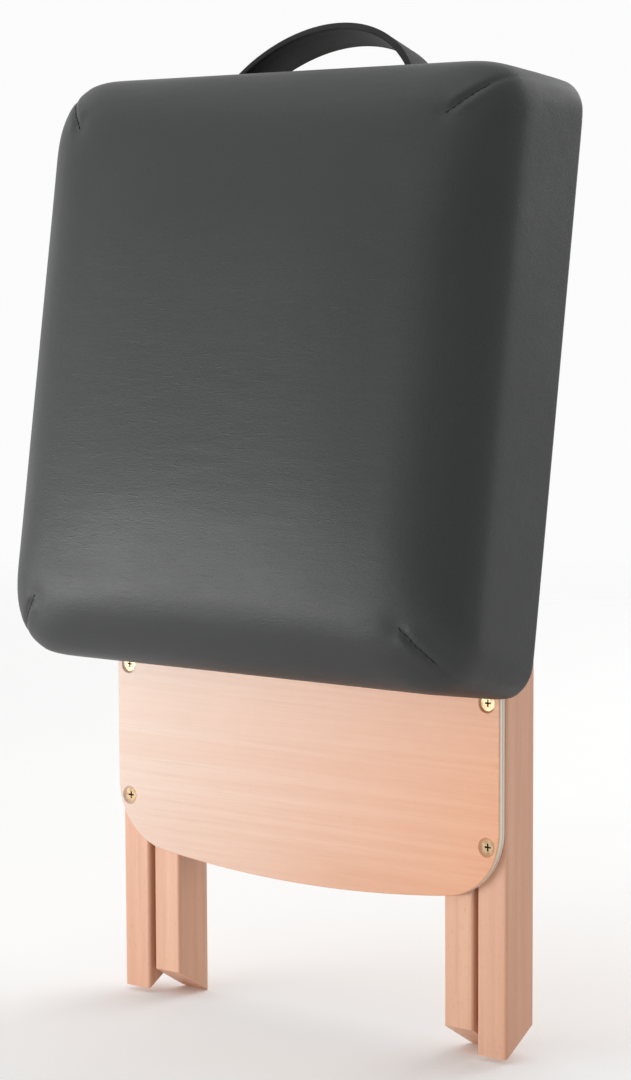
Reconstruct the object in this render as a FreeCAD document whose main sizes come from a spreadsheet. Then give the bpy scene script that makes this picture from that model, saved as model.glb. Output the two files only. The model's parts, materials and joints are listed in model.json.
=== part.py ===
import FreeCAD, Part
import os
import Sketcher

# Folding wooden stool with an upholstered seat, folded flat.
# Millimetres, +Z up. X runs across the stool. The seat faces -Y and its handle is at the top.
# The origin is at the middle of the folded stool's footprint, at the height of its lowest foot edge.

doc = FreeCAD.newDocument("folding_stool")

# ---------------------------------------------------------------- driving dimensions

DIMENSIONS = [
    # legs
    ("leg_width", 22.0, "leg section across the stool"),
    ("leg_depth", 30.0, "leg section front to back"),
    ("leg_round", 2.0, "rounding of the long edges"),
    ("frame_width", 312.0, "over the outer legs"),
    ("frame_gap", 3.8, "between an outer and an inner leg"),
    ("inner_offset", 1.0, "inner legs sit this far behind the outer ones"),
    ("front_face", 22.5, "Y of the outer legs' front faces"),
    ("outer_lean", 30.0, "outer legs' angle from the vertical when open"),
    ("inner_lean", 30.7, "inner legs' angle from the vertical when open"),
    # pivots
    ("hinge_height", 477.0, "seat hinge over the lowest foot edge"),
    ("pivot_height", 357.0, "leg pivot over the lowest foot edge"),
    ("outer_top", 28.0, "outer legs' tops over the seat hinge"),
    ("inner_top", 104.0, "inner legs' tops over the leg pivot"),
    ("bolt_diameter", 6.0, "pivot and hinge bolts"),
    ("running_hole", 6.15, "hole that turns on a bolt"),
    ("running_gap", 0.25, "side play beside a turning leg"),
    ("bolt_head", 13.0, "flat bolt head"),
    ("bolt_head_height", 2.6, "flat bolt head"),
    ("bolt_end", 1.5, "bolt past its lock nut"),
    ("tee_flange", 18.0, "flange of a tee nut"),
    ("tee_barrel", 8.0, "barrel of a tee nut"),
    ("bolt_inset", 1.0, "hinge bolt's end inside its tee nut"),
    ("nut_width", 10.0, "across the flats of a lock nut"),
    ("nut_height", 6.0, "lock nut"),
    ("washer_diameter", 16.0, "washers and spacers"),
    ("washer_thickness", 1.5, "washer under a nut"),
    # panels
    ("panel_thickness", 6.0, "plywood stretcher panels"),
    ("panel_setback", 1.5, "panel's side edges inside the legs' outer faces"),
    ("panel_low", 94.0, "lowest point of a panel's curved lower edge"),
    ("panel_side", 107.5, "height where the curved lower edge would meet the side"),
    ("panel_high", 253.0, "upper edge of a panel"),
    ("panel_corner", 44.0, "radius of the lower corners"),
    ("panel_upper_corner", 8.0, "radius of the upper corners"),
    ("panel_edge", 0.8, "rounding of a panel's edges"),
    ("low_screw_height", 135.5, "lower row of panel screws"),
    ("screw_rise", 88.7, "between the two rows of panel screws"),
    # rails
    ("rail_height", 20.0, "cross rails at the leg tops"),
    ("rail_screw_edge", 8.0, "rail screws from a leg's front and back faces"),
    # wood screws
    ("screw_head", 9.8, "countersunk head"),
    ("screw_shank", 4.0, "shank"),
    ("screw_tip", 0.6, "blunt end of the point"),
    ("cross_length", 4.6, "arms of the cross recess, end to end"),
    ("cross_width", 1.1, "arms of the cross recess"),
    ("cross_depth", 1.7, "cross recess"),
    ("pilot_spare", 0.5, "pilot hole past the screw's point"),
    ("sink_diameter", 12.4, "countersunk hole at the surface"),
    ("panel_screw", 26.0, "length of a panel screw"),
    ("rail_screw", 45.0, "length of a rail screw"),
    ("frame_screw", 34.0, "length of a seat frame screw"),
    ("handle_screw", 20.0, "length of a handle screw"),
    # seat, measured from the hinge axis in the seat's own directions
    ("fold_tilt", 9.0, "seat's angle from the legs when folded"),
    ("seat_width", 364.0, "over the cover"),
    ("lower_reach", 250.0, "hinge to the lower end"),
    ("handle_reach", 126.5, "hinge to the handle end"),
    ("board_level", 40.0, "hinge axis to the underside of the seat board"),
    ("board_thickness", 10.0, "seat board"),
    ("foam_thickness", 41.0, "foam over the board"),
    ("cover_thickness", 1.4, "artificial leather with its backing"),
    ("cover_corner", 44.0, "cover's corners seen from above"),
    ("cover_crown", 40.0, "rounding round the top of the cover"),
    ("hem_width", 15.0, "cover turned in under the seat frame"),
    ("apron_thickness", 18.0, "seat frame rails"),
    ("apron_drop", 10.8, "seat frame below the hinge axis"),
    ("side_screw_pitch", 128.0, "between the board screws of a side rail"),
    ("end_screw_spread", 198.0, "between the board screws of an end rail"),
    ("catch_near", 108.0, "hinge to the near side of the catch block"),
    ("catch_tip", 127.0, "hinge to the foot of the catch block's slope"),
    ("catch_far", 150.0, "hinge to the far side of the catch block"),
    ("catch_slope", 10.0, "hinge axis to the top of the catch block's slope"),
    ("catch_drop", 24.0, "catch block below the hinge axis"),
    ("catch_width", 180.0, "catch block across the stool"),
    ("catch_screw_spread", 126.0, "between the catch block's screws"),
    # handle
    ("handle_span", 140.0, "between the handle's feet"),
    ("handle_rise", 42.5, "crest of the strap's upper edge, along its lean"),
    ("handle_lower_rise", 36.7, "crest of the strap's lower edge, along its lean"),
    ("handle_lean", 20.0, "arch's lean from square to the end of the seat"),
    ("strap_width", 30.0, "handle strap"),
    ("strap_thickness", 3.5, "handle strap"),
    ("strap_level", 3.0, "middle of the strap over the hinge axis"),
    ("strap_foot", 26.0, "length of a foot of the strap"),
    # staples
    ("staple_width", 10.0, "crown of a staple"),
    ("staple_wire", 1.1, "staple wire"),
    ("staple_leg", 7.0, "staple leg in the wood"),
    ("staple_pitch", 42.0, "between staples"),
    ("staple_inset", 11.0, "staples from the cover's outside"),
]

dims = doc.addObject("Spreadsheet::Sheet", "dims")
for row, (alias, value, note) in enumerate(DIMENSIONS, start=1):
    dims.set("A%d" % row, alias)
    dims.set("B%d" % row, str(value))
    dims.set("C%d" % row, note)
    dims.setAlias("B%d" % row, alias)
doc.recompute()


def d(words):
    """An expression in which each word that is a dimension's alias reads the sheet."""
    aliases = {alias for alias, _, _ in DIMENSIONS}
    out = ""
    word = ""
    for letter in words + " ":
        if letter.isalnum() or letter == "_":
            word += letter
            continue
        out += "dims." + word if word in aliases else word
        out += letter
        word = ""
    return out.strip()


# Expressions that several pieces share.
HINGE_Y = "(front_face + leg_depth / 2)"
OUTER_X = "(frame_width / 2 - leg_width / 2)"
INNER_X = "(frame_width / 2 - leg_width * 1.5 - frame_gap)"
INNER_SIDE = "(frame_width / 2 - leg_width - frame_gap)"
INNER_INSIDE = "(frame_width / 2 - leg_width * 2 - frame_gap)"
OUTER_INSIDE = "(frame_width / 2 - leg_width)"
FOOT_MIDDLE = "(leg_depth / 2 + inner_offset) * tan(inner_lean)"
INNER_FOOT = "leg_depth * tan(inner_lean)"
OUTER_FOOT = (
    "(pivot_height - leg_depth / 2 * tan(outer_lean)"
    " - (pivot_height - " + FOOT_MIDDLE + ") * cos(inner_lean) / cos(outer_lean))"
)
HIGH_SCREW = "(low_screw_height + screw_rise)"
RAIL_SCREWS = ("rail_screw_edge", "(leg_depth - rail_screw_edge)")
RAIL_LOW = "(hinge_height + outer_top - rail_height)"
INNER_RAIL_LOW = "(pivot_height + inner_top - rail_height)"
FRAME_HALF = "(seat_width / 2 - cover_thickness)"
FRAME_LOW = "(-(lower_reach - cover_thickness))"
FRAME_HIGH = "(handle_reach - cover_thickness)"
BOARD_TOP = "(board_level + board_thickness)"
FOAM_TOP = "(board_level + board_thickness + foam_thickness)"
SEAT_TURN = "(90 - fold_tilt)"

SIDES = (("left", -1), ("right", 1))


# ---------------------------------------------------------------- helpers


def bind(thing, **expressions):
    for name, words in expressions.items():
        thing.setExpression(name, d(words))
    return thing


def place(thing, x="0", y="0", z="0", axis=(0, 0, 1), angle="0"):
    """Puts a thing at x, y, z in the stool's frame, turned about an axis."""
    turned = FreeCAD.Rotation(FreeCAD.Vector(*axis), 1.0)
    thing.Placement = FreeCAD.Placement(FreeCAD.Vector(), turned)
    thing.setExpression("Placement.Base.x", d(x))
    thing.setExpression("Placement.Base.y", d(y))
    thing.setExpression("Placement.Base.z", d(z))
    thing.setExpression("Placement.Rotation.Angle", d(angle))
    return thing


def place_on_seat(thing, x, y, z, turned="0"):
    """Puts a thing at a point given in the seat's own directions from the hinge axis:
    y along the seat to its handle end, z from its underside to its top."""
    base_y = "%s + (%s) * cos%s - (%s) * sin%s" % (HINGE_Y, y, SEAT_TURN, z, SEAT_TURN)
    base_z = "hinge_height + (%s) * sin%s + (%s) * cos%s" % (y, SEAT_TURN, z, SEAT_TURN)
    return place(thing, x, base_y, base_z, (1, 0, 0), SEAT_TURN + " + " + turned)


def new_body(name):
    return doc.addObject("PartDesign::Body", name)


def plane_of(body, role):
    return next(f for f in body.Origin.OriginFeatures if f.Role == role)


def new_sketch(body, role, offset=None):
    sketch = body.newObject("Sketcher::SketchObject", body.Name + "_sketch")
    sketch.AttachmentSupport = [(plane_of(body, role), "")]
    sketch.MapMode = "FlatFace"
    if offset is not None:
        sketch.setExpression("AttachmentOffset.Base.z", d(offset))
    return sketch


def pin_point(sketch, edge, end, x, y):
    """Holds a sketch point at x, y from the sketch's origin."""
    for kind, words in (("DistanceX", x), ("DistanceY", y)):
        number = sketch.addConstraint(Sketcher.Constraint(kind, edge, end, evaluate(words)))
        sketch.setExpression("Constraints[%d]" % number, d(words))


def evaluate(words):
    """The present value of an expression, for a sketch's first drawing."""
    value = dims.evalExpression(d(words))
    return float(getattr(value, "Value", value))


def polygon(sketch, points):
    """Closed outline of straight lines through points given as pairs of expressions."""
    spots = [FreeCAD.Vector(evaluate(x), evaluate(y), 0) for x, y in points]
    count = len(spots)
    first = sketch.GeometryCount
    for i in range(count):
        sketch.addGeometry(Part.LineSegment(spots[i], spots[(i + 1) % count]), False)
    for i in range(count):
        after = first + (i + 1) % count
        sketch.addConstraint(Sketcher.Constraint("Coincident", first + i, 2, after, 1))
    for i, (x, y) in enumerate(points):
        pin_point(sketch, first + i, 1, x, y)


def circle(sketch, x, y, diameter):
    centre = FreeCAD.Vector(evaluate(x), evaluate(y), 0)
    size = evaluate(diameter)
    edge = sketch.addGeometry(Part.Circle(centre, FreeCAD.Vector(0, 0, 1), size / 2), False)
    pin_point(sketch, edge, 3, x, y)
    number = sketch.addConstraint(Sketcher.Constraint("Diameter", edge, size))
    sketch.setExpression("Constraints[%d]" % number, d(diameter))


def pad(body, sketch, length, middle=False, back=False):
    feature = body.newObject("PartDesign::Pad", body.Name + "_pad")
    feature.Profile = sketch
    feature.Midplane = middle
    feature.Reversed = back
    bind(feature, Length=length)
    doc.recompute()
    return feature


def pocket(body, sketch, length=None, back=False):
    """Cuts a sketch out of a body, right through both ways unless a depth is given."""
    before = body.Shape.Volume
    feature = body.newObject("PartDesign::Pocket", body.Name + "_pocket")
    feature.Profile = sketch
    feature.Reversed = back
    if length is None:
        feature.Type = "ThroughAll"
        feature.Midplane = True
    else:
        bind(feature, Length=length)
    doc.recompute()
    if feature.Shape.Volume > before - 1.0:
        raise ValueError("a pocket in %s cut nothing" % body.Name)
    return feature


def fillet(body, radius, wanted):
    """Rounds the edges of a body's tip for which wanted(edge) is true."""
    tip = body.Tip
    names = ["Edge%d" % (i + 1) for i, e in enumerate(tip.Shape.Edges) if wanted(e)]
    feature = body.newObject("PartDesign::Fillet", body.Name + "_fillet")
    feature.Base = (tip, names)
    bind(feature, Radius=radius)
    doc.recompute()
    return feature


def runs_along(axis):
    """A test for straight edges that run along an axis."""
    wanted = FreeCAD.Vector(*axis)

    def test(edge):
        if edge.Curve.TypeId != "Part::GeomLine":
            return False
        return abs(edge.tangentAt(edge.FirstParameter).dot(wanted)) > 0.999

    return test


def primitive(kind, name, **expressions):
    return bind(doc.addObject("Part::" + kind, name), **expressions)


def group(label, pieces):
    """Identical fasteners as one node of separate solids."""
    node = doc.addObject("Part::Compound", label)
    node.Links = pieces
    return node


def drill(body, role, spots, diameter, offset=None, length=None, back=False):
    sketch = new_sketch(body, role, offset)
    for x, y in spots:
        circle(sketch, x, y, diameter)
    doc.recompute()
    return pocket(body, sketch, length, back)


# ---------------------------------------------------------------- fasteners


def wood_screw(name, length):
    """Countersunk cross-head screw: the head's top is at z = 0 and the shank points down."""
    head_depth = "((screw_head - screw_shank) / 2)"
    head = primitive("Cone", name + "_head", Radius1="screw_shank / 2",
                     Radius2="screw_head / 2", Height=head_depth)
    place(head, z="-" + head_depth)
    shank = primitive("Cylinder", name + "_shank", Radius="screw_shank / 2",
                      Height="%s - screw_shank * 1.5 - %s" % (length, head_depth))
    place(shank, z="-(%s - screw_shank * 1.5)" % length)
    tip = primitive("Cone", name + "_tip", Radius1="screw_tip / 2", Radius2="screw_shank / 2",
                    Height="screw_shank * 1.5")
    place(tip, z="-(%s)" % length)
    solid = doc.addObject("Part::MultiFuse", name + "_solid")
    solid.Shapes = [head, shank, tip]
    slots = []
    arms = (("cross_length", "cross_width"), ("cross_width", "cross_length"))
    for i, (along, across) in enumerate(arms):
        slot = primitive("Box", "%s_slot%d" % (name, i), Length=along, Width=across,
                         Height="2 * cross_depth")
        place(slot, "-%s / 2" % along, "-%s / 2" % across, "-cross_depth")
        slots.append(slot)
    cross = doc.addObject("Part::MultiFuse", name + "_cross")
    cross.Shapes = slots
    screw = doc.addObject("Part::Cut", name)
    screw.Base = solid
    screw.Tool = cross
    return screw


HEAD_DEPTH = "((sink_diameter - screw_head) / 2)"


def rod(name, diameter, x_from, length, y, z):
    """Round bar along X."""
    bar = primitive("Cylinder", name, Radius="(%s) / 2" % diameter, Height=length)
    return place(bar, x_from, y, z, (0, 1, 0), "90")


def ring(name, outside, inside, x_from, length, y, z):
    """Washer or spacer round an axis along X."""
    piece = doc.addObject("Part::Cut", name)
    piece.Base = rod(name + "_outside", outside, x_from, length, y, z)
    piece.Tool = rod(name + "_inside", inside, x_from, length, y, z)
    return piece


def on_side(sign, low, length):
    """Start of a stretch from |x| = low to low + length, on the left or right side."""
    return low if sign > 0 else "-(%s) - (%s)" % (low, length)


# ---------------------------------------------------------------- legs and panels


def leg(name, x, top, foot, lean, offset, bores, pilots, pilots_from_back):
    """Leg with a slanting foot. bores are (height, diameter) of cross holes, pilots the
    heights of panel screws. lean is positive where the foot's front edge is the lower."""
    body = new_body(name)
    back_rise = "leg_depth * tan(%s)" % lean
    profile = new_sketch(body, "YZ_Plane")
    polygon(profile, [("0", foot), ("leg_depth", "%s + %s" % (foot, back_rise)),
                      ("leg_depth", top), ("0", top)])
    pad(body, profile, "leg_width", middle=True)
    fillet(body, "leg_round", runs_along((0, 0, 1)))
    for height, diameter in bores:
        drill(body, "YZ_Plane", [("leg_depth / 2 - (%s)" % offset, height)], diameter)
    depth = "panel_screw - panel_thickness + %s + pilot_spare" % HEAD_DEPTH
    spots = [("0", height) for height in pilots]
    face = "-leg_depth" if pilots_from_back else "0"
    drill(body, "XZ_Plane", spots, "screw_shank", face, depth, back=pilots_from_back)
    rail = "%s + rail_height / 2" % (RAIL_LOW if name.startswith("outer") else INNER_RAIL_LOW)
    rail_spots = [(across, rail) for across in RAIL_SCREWS]
    drill(body, "YZ_Plane", rail_spots, "screw_shank")
    for i, (across, height) in enumerate(rail_spots):
        sink_for_rail(body, name, i, x, across, height)
    place(body, x, "front_face + %s" % offset, "0")
    return body


def sink_for_rail(body, name, number, x, across, height):
    """Conical seat in the leg's outer face for a rail screw's head."""
    outwards = "1" if not x.startswith("-") else "-1"
    cone = body.newObject("PartDesign::SubtractiveCone", "%s_sink%d" % (name, number))
    bind(cone, Radius1="screw_shank / 2", Radius2="sink_diameter / 2",
         Height="(sink_diameter - screw_shank) / 2")
    place(cone, "%s * (leg_width / 2 - (sink_diameter - screw_shank) / 2)" % outwards, across,
          height, (0, 1, 0), "90 * " + outwards)
    doc.recompute()


def panel(name, width, y, screws_x, sink_faces_front):
    """Plywood stretcher with a curved lower edge and round lower corners."""
    body = new_body(name)
    sketch = new_sketch(body, "XZ_Plane")
    half = evaluate(width) / 2
    low, side, high = (evaluate(w) for w in ("panel_low", "panel_side", "panel_high"))
    corners = [FreeCAD.Vector(-half, side, 0), FreeCAD.Vector(half, side, 0),
               FreeCAD.Vector(half, high, 0), FreeCAD.Vector(-half, high, 0)]
    lowest = FreeCAD.Vector(0, low, 0)
    arc = Part.Arc(corners[0], lowest, corners[1])
    bottom = sketch.addGeometry(arc, False)
    for i in (1, 2, 3):
        sketch.addGeometry(Part.LineSegment(corners[i], corners[(i + 1) % 4]), False)
    # An arc runs anticlockwise, so the lower edge goes from its left end to its right end.
    for edge, after in ((0, 1), (1, 2), (2, 3), (3, 0)):
        sketch.addConstraint(Sketcher.Constraint("Coincident", edge, 2, after, 1))
    for edge, x, z in ((1, "(%s) / 2", "panel_side"), (2, "(%s) / 2", "panel_high"),
                       (3, "-(%s) / 2", "panel_high"), (0, "-(%s) / 2", "panel_side")):
        pin_point(sketch, edge, 1, x % width, z)
    sagitta = "(panel_side - panel_low)"
    radius = "(((%s) / 2) ^ 2 + %s ^ 2) / (2 * %s)" % (width, sagitta, sagitta)
    number = sketch.addConstraint(Sketcher.Constraint("Radius", bottom, evaluate(radius)))
    sketch.setExpression("Constraints[%d]" % number, d(radius))
    pad(body, sketch, "panel_thickness", back=True)

    def corner_below(edge):
        return runs_along((0, 1, 0))(edge) and edge.CenterOfMass.z < side + 5

    def corner_above(edge):
        return runs_along((0, 1, 0))(edge) and edge.CenterOfMass.z > high - 5

    fillet(body, "panel_corner", corner_below)
    fillet(body, "panel_upper_corner", corner_above)
    spots = [("%s * %s" % (sign, screws_x), z) for _, sign in SIDES
             for z in ("low_screw_height", HIGH_SCREW)]
    drill(body, "XZ_Plane", spots, "screw_shank")
    for i, (x, z) in enumerate(spots):
        cone = body.newObject("PartDesign::SubtractiveCone", "%s_sink%d" % (name, i))
        bind(cone, Radius1="screw_shank / 2", Radius2="sink_diameter / 2",
             Height="(sink_diameter - screw_shank) / 2")
        depth = "(sink_diameter - screw_shank) / 2"
        if sink_faces_front:
            place(cone, x, depth, z, (1, 0, 0), "90")
        else:
            place(cone, x, "panel_thickness - " + depth, z, (1, 0, 0), "-90")
        doc.recompute()

    hole = evaluate("sink_diameter") / 2 + 0.1

    def on_the_rim(edge):
        small = edge.Curve.TypeId == "Part::GeomCircle" and edge.Curve.Radius < hole
        return edge.BoundBox.YLength < 0.01 and not small

    fillet(body, "panel_edge", on_the_rim)
    place(body, "0", y, "0")
    return body


def rail(name, length, low, offset):
    """Cross rail between two legs, with pilot holes for its screws in both ends."""
    body = new_body(name)
    profile = new_sketch(body, "YZ_Plane")
    polygon(profile, [("0", "0"), ("leg_depth", "0"), ("leg_depth", "rail_height"),
                      ("0", "rail_height")])
    pad(body, profile, length, middle=True)
    fillet(body, "leg_round", runs_along((1, 0, 0)))
    spots = [(across, "rail_height / 2") for across in RAIL_SCREWS]
    depth = "rail_screw - leg_width + %s + pilot_spare" % HEAD_DEPTH
    drill(body, "YZ_Plane", spots, "screw_shank", "(%s) / 2" % length, depth)
    drill(body, "YZ_Plane", spots, "screw_shank", "-(%s) / 2" % length, depth, back=True)
    place(body, "0", "front_face + %s" % offset, low)
    return body


def build_frames():
    nodes = []
    for side, sign in SIDES:
        nodes.append(leg(
            "outer_leg_" + side, "%d * %s" % (sign, OUTER_X), "hinge_height + outer_top",
            OUTER_FOOT, "outer_lean", "0",
            [("hinge_height", "running_hole"), ("pivot_height", "bolt_diameter")],
            ("low_screw_height", HIGH_SCREW), pilots_from_back=False))
        nodes.append(leg(
            "inner_leg_" + side, "%d * %s" % (sign, INNER_X), "pivot_height + inner_top",
            INNER_FOOT, "(-inner_lean)", "inner_offset",
            [("pivot_height", "running_hole")],
            ("low_screw_height", HIGH_SCREW), pilots_from_back=True))
    nodes.append(panel("outer_panel", "frame_width - 2 * panel_setback",
                       "front_face - panel_thickness", OUTER_X, sink_faces_front=True))
    nodes.append(panel("inner_panel", "2 * (%s - panel_setback)" % INNER_SIDE,
                       "front_face + inner_offset + leg_depth", INNER_X,
                       sink_faces_front=False))
    nodes.append(rail("outer_top_rail", "2 * " + OUTER_INSIDE, RAIL_LOW, "0"))
    nodes.append(rail("inner_top_rail", "2 * " + INNER_INSIDE, INNER_RAIL_LOW, "inner_offset"))
    return nodes


def build_frame_screws():
    nodes = []
    for frame, x, y, turn in (
        ("outer", OUTER_X, "front_face - panel_thickness + " + HEAD_DEPTH, "90"),
        ("inner", INNER_X,
         "front_face + inner_offset + leg_depth + panel_thickness - " + HEAD_DEPTH, "-90"),
    ):
        screws = []
        for side, sign in SIDES:
            for level, z in (("low", "low_screw_height"), ("high", HIGH_SCREW)):
                screw = wood_screw("%s_screw_%s_%s" % (frame, side, level), "panel_screw")
                screws.append(place(screw, "%d * %s" % (sign, x), y, z, (1, 0, 0), turn))
        nodes.append(group(frame + "_panel_screws", screws))
    for frame, face, low, offset in (
        ("outer", "frame_width / 2", RAIL_LOW, "0"),
        ("inner", INNER_SIDE, INNER_RAIL_LOW, "inner_offset"),
    ):
        screws = []
        for side, sign in SIDES:
            for i, across in enumerate(RAIL_SCREWS):
                screw = wood_screw("%s_rail_screw_%s_%d" % (frame, side, i), "rail_screw")
                screws.append(place(
                    screw, "%d * (%s - %s)" % (sign, face, HEAD_DEPTH),
                    "front_face + %s + %s" % (offset, across),
                    low + " + rail_height / 2", (0, 1, 0), "%d" % (90 * sign)))
        nodes.append(group(frame + "_rail_screws", screws))
    return nodes


# ---------------------------------------------------------------- pivots and hinge


def bolt(name, sign, head_from, head_outside, tip):
    """Flat-headed bolt along X between |x| = head_from and |x| = tip. The head lies outside
    head_from where head_outside is true, and inside it otherwise."""
    if head_outside:
        shank_low, shank_length = tip, "%s - (%s)" % (head_from, tip)
        head_low = head_from
    else:
        shank_low, shank_length = head_from, "%s - (%s)" % (tip, head_from)
        head_low = "%s - bolt_head_height" % head_from
    height = "pivot_height" if head_outside else "hinge_height"
    shank = rod(name + "_shank", "bolt_diameter", on_side(sign, shank_low, shank_length),
                shank_length, HINGE_Y, height)
    head = rod(name + "_disc", "bolt_head", on_side(sign, head_low, "bolt_head_height"),
               "bolt_head_height", HINGE_Y, height)
    piece = doc.addObject("Part::MultiFuse", name)
    piece.Shapes = [shank, head]
    return piece


def lock_nut(name, sign, low, y, z):
    """Hexagonal nut round an axis along X, from |x| = low outwards."""
    hexagon = primitive("Prism", name + "_hexagon", Circumradius="nut_width / 2 / cos(30)",
                        Height="nut_height")
    hexagon.Polygon = 6
    place(hexagon, on_side(sign, low, "nut_height"), y, z, (0, 1, 0), "90")
    nut = doc.addObject("Part::Cut", name)
    nut.Base = hexagon
    nut.Tool = rod(name + "_bore", "bolt_diameter", on_side(sign, low, "nut_height"),
                   "nut_height", y, z)
    return nut


def tee_nut(name, sign):
    """Nut let into the seat frame from outside, with a flange under the cover."""
    outer_face = FRAME_HALF
    barrel_length = "(apron_thickness - washer_thickness)"
    flange = rod(name + "_flange", "tee_flange",
                 on_side(sign, outer_face + " - washer_thickness", "washer_thickness"),
                 "washer_thickness", HINGE_Y, "hinge_height")
    barrel = rod(name + "_barrel", "tee_barrel",
                 on_side(sign, "%s - apron_thickness" % outer_face, barrel_length),
                 barrel_length, HINGE_Y, "hinge_height")
    solid = doc.addObject("Part::MultiFuse", name + "_solid")
    solid.Shapes = [flange, barrel]
    piece = doc.addObject("Part::Cut", name)
    piece.Base = solid
    piece.Tool = rod(name + "_bore", "bolt_diameter",
                     on_side(sign, "%s - apron_thickness" % outer_face, "apron_thickness"),
                     "apron_thickness", HINGE_Y, "hinge_height")
    return piece


def build_pivots():
    """Pivot bolts hold the two leg frames together, hinge bolts the outer frame to the seat."""
    parts = {name: [] for name in ("pivot_bolts", "pivot_spacers", "pivot_washers",
                                   "pivot_nuts", "hinge_bolts", "hinge_spacers",
                                   "hinge_tee_nuts")}
    apron_inside = "%s - apron_thickness" % FRAME_HALF
    washer_low = "%s - running_gap - washer_thickness" % INNER_INSIDE
    nut_low = "%s - nut_height" % washer_low
    for side, sign in SIDES:
        parts["pivot_bolts"].append(bolt(
            "pivot_bolt_" + side, sign, "frame_width / 2", True, nut_low + " - bolt_end"))
        gap = "frame_gap - running_gap"
        parts["pivot_spacers"].append(ring(
            "pivot_spacer_" + side, "washer_diameter", "bolt_diameter",
            on_side(sign, "%s - (%s)" % (OUTER_INSIDE, gap), gap), gap,
            HINGE_Y, "pivot_height"))
        parts["pivot_washers"].append(ring(
            "pivot_washer_" + side, "washer_diameter", "bolt_diameter",
            on_side(sign, washer_low, "washer_thickness"), "washer_thickness",
            HINGE_Y, "pivot_height"))
        parts["pivot_nuts"].append(lock_nut(
            "pivot_nut_" + side, sign, nut_low, HINGE_Y, "pivot_height"))
        parts["hinge_bolts"].append(bolt(
            "hinge_bolt_" + side, sign, OUTER_INSIDE + " - running_gap", False,
            FRAME_HALF + " - bolt_inset"))
        room = "%s - frame_width / 2 - running_gap" % apron_inside
        parts["hinge_spacers"].append(ring(
            "hinge_spacer_" + side, "washer_diameter", "bolt_diameter",
            on_side(sign, "frame_width / 2 + running_gap", room), room,
            HINGE_Y, "hinge_height"))
        parts["hinge_tee_nuts"].append(tee_nut("hinge_tee_nut_" + side, sign))
    return [group(name, pieces) for name, pieces in parts.items()]


# ---------------------------------------------------------------- seat frame

def rounded_block(name, inset, low, top, crown=None):
    """Block with round upright corners inside the cover's outline, in the seat's directions.
    Its top edge is rounded where a crown is given."""
    body = new_body(name)
    sketch = new_sketch(body, "XY_Plane", low)
    half = "(seat_width / 2 - (%s))" % inset
    y_low = "(-(lower_reach - (%s)))" % inset
    y_high = "(handle_reach - (%s))" % inset
    polygon(sketch, [("-" + half, y_low), (half, y_low), (half, y_high), ("-" + half, y_high)])
    pad(body, sketch, "%s - (%s)" % (top, low))
    fillet(body, "cover_corner - (%s)" % inset, runs_along((0, 0, 1)))
    if crown is not None:
        level = evaluate(top) - 0.01
        fillet(body, crown, lambda e: e.BoundBox.ZMin > level)
    return body


APRON_MIDDLE = "(%s - apron_thickness / 2)" % FRAME_HALF
SEAT_LENGTH = "(lower_reach + handle_reach)"
SEAT_MIDDLE = "((handle_reach - lower_reach) / 2)"


HANDLE_SCREW_X = "(handle_span / 2 + strap_foot / 2)"
HANDLE_SCREW_SPOTS = [("-" + HANDLE_SCREW_X, "strap_level"), (HANDLE_SCREW_X, "strap_level")]
CONE_HEIGHT = "((screw_head - screw_shank) / 2)"
HANDLE_PILOT = (
    "handle_screw - strap_thickness - %s - cover_thickness + pilot_spare" % CONE_HEIGHT
)


def side_spots(sign):
    return [("%d * %s" % (sign, APRON_MIDDLE), "%s + %d * side_screw_pitch" % (SEAT_MIDDLE, step))
            for step in (-1, 0, 1)]


def end_spots(end_y):
    return [("%d * end_screw_spread / 2" % sign, end_y) for _, sign in SIDES]


LOWER_END_MIDDLE = "(%s + apron_thickness / 2)" % FRAME_LOW
HANDLE_END_MIDDLE = "(%s - apron_thickness / 2)" % FRAME_HIGH
CATCH_SPOTS = [("%d * catch_screw_spread / 2" % sign, "-(catch_tip + catch_far) / 2")
               for _, sign in SIDES]
BOARD_SPOTS = (side_spots(-1) + side_spots(1) + end_spots(LOWER_END_MIDDLE)
               + end_spots(HANDLE_END_MIDDLE) + CATCH_SPOTS)
PILOT_DEPTH = "frame_screw - board_thickness + pilot_spare"


def seat_board():
    body = new_body("seat_board")
    sketch = new_sketch(body, "XY_Plane", "board_level")
    polygon(sketch, [("-" + FRAME_HALF, FRAME_LOW), (FRAME_HALF, FRAME_LOW),
                     (FRAME_HALF, FRAME_HIGH), ("-" + FRAME_HALF, FRAME_HIGH)])
    pad(body, sketch, "board_thickness")
    fillet(body, "cover_corner - cover_thickness", runs_along((0, 0, 1)))
    drill(body, "XY_Plane", BOARD_SPOTS, "screw_shank")
    for i, (x, y) in enumerate(BOARD_SPOTS):
        cone = body.newObject("PartDesign::SubtractiveCone", "seat_board_sink%d" % i)
        depth = "(screw_head - screw_shank) / 2"
        bind(cone, Radius1="screw_shank / 2", Radius2="screw_head / 2", Height=depth)
        place(cone, x, y, "%s - %s" % (BOARD_TOP, depth))
        doc.recompute()
    return place_on_seat(body, "0", "0", "0")


def apron(name, outline, x_low, x_high, y_low, y_high, spots):
    """Rail of the seat frame under the board, on edge, and a body to drill further holes in.
    The rail is cut to the seat's outline with its round corners."""
    body = new_body(name + "_blank")
    sketch = new_sketch(body, "XY_Plane", "-apron_drop")
    polygon(sketch, [(x_low, y_low), (x_high, y_low), (x_high, y_high), (x_low, y_high)])
    pad(body, sketch, "board_level + apron_drop")
    drill(body, "XY_Plane", spots, "screw_shank", "board_level", PILOT_DEPTH)
    node = doc.addObject("Part::Common", name)
    node.Base = body
    node.Tool = outline
    return place_on_seat(node, "0", "0", "0"), body


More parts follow.
